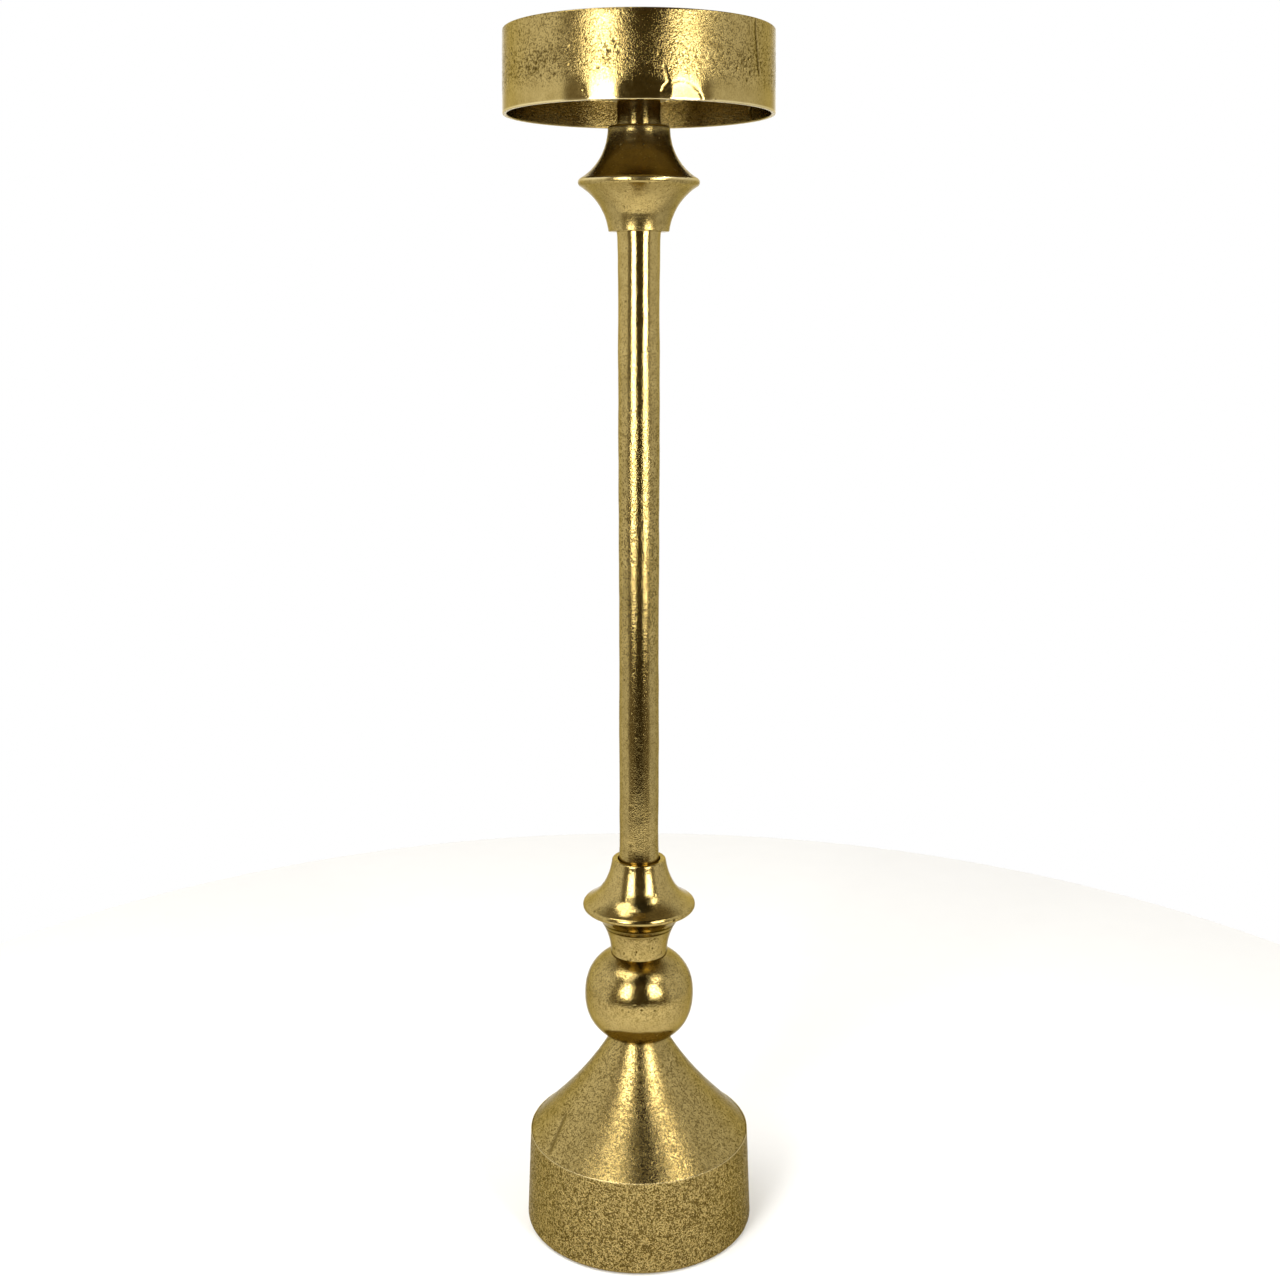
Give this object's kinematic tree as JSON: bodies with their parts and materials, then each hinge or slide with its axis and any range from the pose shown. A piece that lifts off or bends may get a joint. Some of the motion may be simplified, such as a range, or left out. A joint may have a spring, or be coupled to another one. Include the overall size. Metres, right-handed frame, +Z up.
{
  "type": "pillar candle holder",
  "caption": "Tall floor-standing pillar candle holder: a drum-shaped candle pan on a slender column with flared collars, a ball and a hollow cone base.",
  "frame": {"origin": "on the floor, on the axis of the column, at the middle of the object's footprint", "axes": "+Z up along the column; the object is round about Z, +X and +Y are the same all round"},
  "size_m": [0.2, 0.2, 0.9515],
  "materials": {
    "base_metal": "sand-cast, antique gold lacquer, grainy",
    "ball_metal": "sand-cast, antique gold lacquer, partly polished",
    "collar_metal": "sand-cast, antique gold lacquer, turned and brushed",
    "tube_metal": "hand-polished, slightly wavy, antique gold lacquer",
    "pan_metal": "sand-cast and polished, pitted, antique gold lacquer",
    "zinc_steel": "zinc-plated",
    "pads": "matt black foam rubber"
  },
  "bodies": {
    "root": {"floor_pads": "pads", "base_skirt": "base_metal", "base_cone": "base_metal", "tie_washer": "zinc_steel", "lower_spring_washer": "zinc_steel", "lower_nut": "zinc_steel", "lower_jam_nut": "zinc_steel", "tie_rod": "zinc_steel", "ball": "ball_metal", "lower_collar": "collar_metal", "column_tube": "tube_metal", "upper_collar": "collar_metal", "neck_tube": "tube_metal", "candle_pan": "pan_metal", "seat_plate": "pan_metal", "upper_washer": "zinc_steel", "upper_spring_washer": "zinc_steel", "upper_nut": "zinc_steel"}
  },
  "joints": []
}
